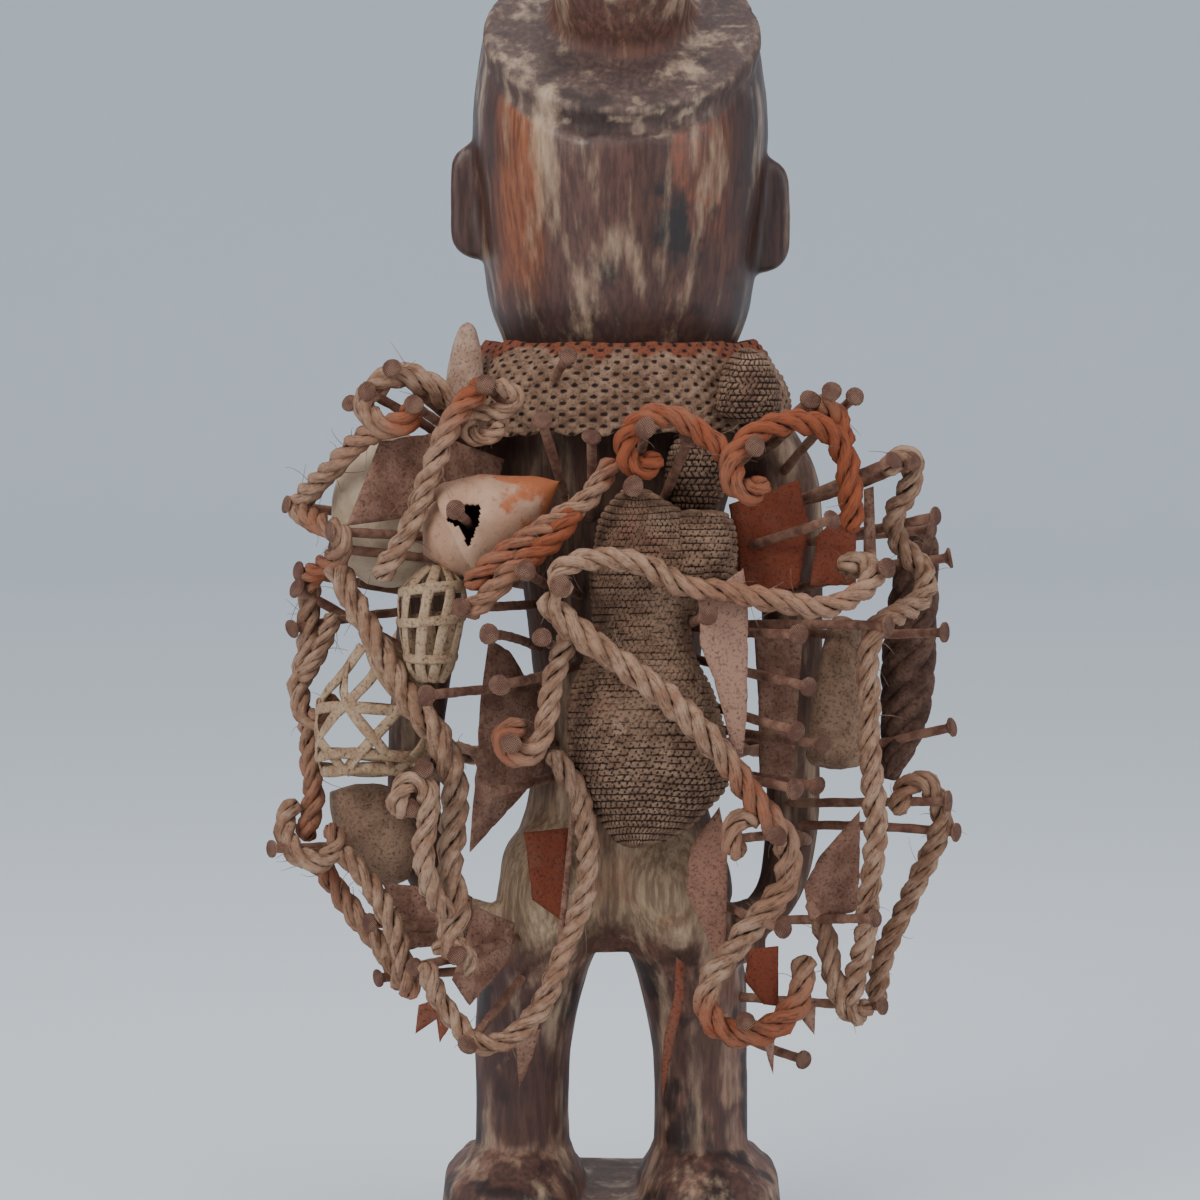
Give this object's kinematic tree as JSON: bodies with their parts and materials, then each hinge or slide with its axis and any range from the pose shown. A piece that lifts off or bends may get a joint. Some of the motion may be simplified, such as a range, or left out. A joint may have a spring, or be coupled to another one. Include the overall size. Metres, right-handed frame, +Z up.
{
  "type": "nkisi power figure",
  "caption": "Carved wooden nkisi figure standing with hands on hips on a low base, stuck with iron nails and blades and wound with rope that holds gourds, baskets and a pouch.",
  "frame": {"origin": "middle of the underside of the base", "axes": "+Z up, the figure faces +Y and its back, the side in the picture, faces -Y"},
  "size_m": [0.4044, 0.2833, 0.8044],
  "materials": {
    "carved_wood": "worn, waxed by handling",
    "old_cloth": "earth-caked",
    "gourd_shell": "dusty",
    "cane_strip": "dusty",
    "plant_fibre_rope": "earth-caked",
    "rusted_iron": "rusted"
  },
  "bodies": {
    "root": {"bark_bundle": "plant_fibre_rope", "blunt_peg": "gourd_shell", "brown_plate": "rusted_iron", "cane_basket": "cane_strip", "corner_plate": "rusted_iron", "dark_bag": "old_cloth", "edge_on_knife": "rusted_iron", "figure": "carved_wood", "heart_packet": "old_cloth", "knitted_pouch": "old_cloth", "left_hip_plate": "rusted_iron", "leg_blade": "rusted_iron", "long_blade": "rusted_iron", "lozenge_blade": "rusted_iron", "nail_below_neck_left": "rusted_iron", "nail_below_neck_right": "rusted_iron", "nail_beside_pouch": "rusted_iron", "nail_beside_straw": "rusted_iron", "nail_far_right": "rusted_iron", "nail_in_gourd": "rusted_iron", "nail_left_crossing": "rusted_iron", "nail_left_long": "rusted_iron", "nail_left_low": "rusted_iron", "nail_left_middle": "rusted_iron", "nail_lowest_right": "rusted_iron", "nail_on_brown_plate": "rusted_iron", "nail_over_basket": "rusted_iron", "nail_over_pouch": "rusted_iron", "nail_right_fifth": "rusted_iron", "nail_right_fourth": "rusted_iron", "nail_right_second": "rusted_iron", "nail_right_third": "rusted_iron", "nail_right_upper": "rusted_iron", "nail_through_cape": "rusted_iron", "nail_under_gourd": "rusted_iron", "notched_blade": "rusted_iron", "outer_brown_plate": "rusted_iron", "pale_knife": "rusted_iron", "pale_packet": "old_cloth", "pear_gourd": "gourd_shell", "pointed_hip_plate": "rusted_iron", "reddish_plate": "rusted_iron", "rope_across_back": "plant_fibre_rope", "rope_far_right": "plant_fibre_rope", "rope_front": "plant_fibre_rope", "rope_left_leg": "plant_fibre_rope", "rope_left_side": "plant_fibre_rope", "rope_neck_sling": "plant_fibre_rope", "rope_over_basket": "plant_fibre_rope", "rope_over_shoulder": "plant_fibre_rope", "rope_right_shoulder": "plant_fibre_rope", "rope_right_side": "plant_fibre_rope", "round_gourd": "gourd_shell", "shoulder_bag": "old_cloth", "shoulder_cape": "old_cloth", "slim_blade": "rusted_iron", "strip_basket": "cane_strip", "triangular_blade": "rusted_iron", "upright_plate": "rusted_iron"}
  },
  "joints": []
}
